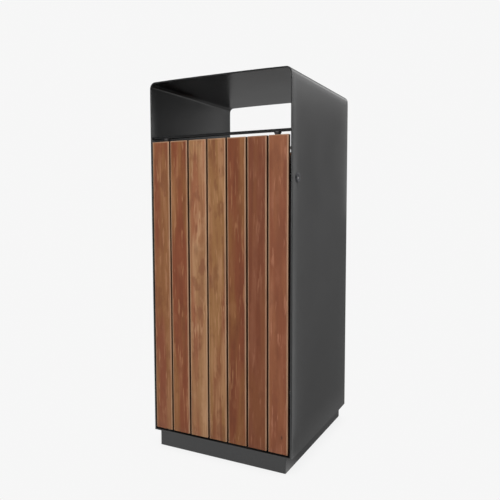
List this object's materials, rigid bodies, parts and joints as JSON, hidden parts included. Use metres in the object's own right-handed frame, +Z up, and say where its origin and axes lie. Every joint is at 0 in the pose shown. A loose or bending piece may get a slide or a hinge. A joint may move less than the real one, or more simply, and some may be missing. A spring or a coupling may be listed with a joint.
{
  "type": "litter bin",
  "caption": "Upright street litter bin: folded grey steel casing with a through hood, timber slatted door with key lock, slatted rear and a hung galvanised liner.",
  "frame": {"origin": "on the ground, under the middle of the bin", "axes": "+Z up; the door faces -Y, the key lock is in the +X wall, the hinge line is on the -X side"},
  "size_m": [0.4628, 0.478, 1.1],
  "materials": {
    "coated_steel": "dark grey fine-textured powder coat, satin",
    "oiled_timber": "red-brown oiled hardwood boards, planed, rounded edges",
    "galvanised_steel": "hot-dip galvanised, spangled",
    "stainless_steel": "satin stainless steel",
    "lock_chrome": "chrome-plated lock barrel",
    "black_nylon": "turned black nylon"
  },
  "bodies": {
    "casing": {"casing_shell": "coated_steel", "base_plate": "coated_steel", "plinth_front": "coated_steel", "plinth_rear": "coated_steel", "plinth_left": "coated_steel", "plinth_right": "coated_steel", "anchor_flange_left": "coated_steel", "anchor_flange_right": "coated_steel", "front_bar": "coated_steel", "rear_bar": "coated_steel", "hinge_bush_top": "black_nylon", "hinge_bush_spare": "black_nylon", "hinge_bush_bottom": "black_nylon", "rear_slat_1": "oiled_timber", "rear_slat_2": "oiled_timber", "rear_slat_3": "oiled_timber", "rear_slat_4": "oiled_timber", "rear_slat_5": "oiled_timber", "rear_slat_6": "oiled_timber", "rear_slat_7": "oiled_timber", "rear_upright_left": "coated_steel", "rear_upright_right": "coated_steel", "rear_rail_bottom": "coated_steel", "rear_rail_middle": "coated_steel", "rear_rail_top": "coated_steel", "rear_spacer_left": "coated_steel", "rear_spacer_right": "coated_steel", "door_stop_upper": "stainless_steel", "door_stop_lower": "stainless_steel", "liner_runner_left": "coated_steel", "liner_runner_right": "coated_steel", "lock_body": "lock_chrome", "lock_nut": "stainless_steel"},
    "door": {"door_slat_1": "oiled_timber", "door_slat_2": "oiled_timber", "door_slat_3": "oiled_timber", "door_slat_4": "oiled_timber", "door_slat_5": "oiled_timber", "door_slat_6": "oiled_timber", "door_slat_7": "oiled_timber", "door_upright_left": "coated_steel", "door_upright_right": "coated_steel", "door_rail_bottom": "coated_steel", "door_rail_middle": "coated_steel", "door_rail_top": "coated_steel", "hinge_pin_top": "stainless_steel", "hinge_pin_bottom": "stainless_steel", "lock_keeper": "coated_steel"},
    "lock": {"lock_core": "lock_chrome", "lock_cam": "stainless_steel", "cam_screw": "stainless_steel"},
    "liner": {"liner_bucket": "galvanised_steel", "liner_rim": "galvanised_steel", "handle_bracket_front": "galvanised_steel", "handle_bracket_rear": "galvanised_steel"},
    "handle_front": {"liner_handle_front": "stainless_steel"},
    "handle_rear": {"liner_handle_rear": "stainless_steel"}
  },
  "joints": [
    {"name": "door_hinge", "type": "hinge", "parent": "casing", "child": "door", "pos_m": [-0.18, -0.2187, 0.05], "axis": [0, 0, -1], "range_deg": [0, 110]},
    {"name": "lock_turn", "type": "hinge", "parent": "casing", "child": "lock", "pos_m": [0.23, -0.1994, 0.811], "axis": [-1, 0, 0], "range_deg": [0, 90]},
    {"name": "liner_lift", "type": "slide", "parent": "casing", "child": "liner", "axis": [0, 0, 1], "range_m": [0, 0.06]},
    {"name": "front_handle_swing", "type": "hinge", "parent": "liner", "child": "handle_front", "pos_m": [0, -0.157, 0.85], "axis": [1, 0, 0], "range_deg": [0, 165]},
    {"name": "rear_handle_swing", "type": "hinge", "parent": "liner", "child": "handle_rear", "pos_m": [0, 0.157, 0.85], "axis": [-1, 0, 0], "range_deg": [0, 165]}
  ]
}
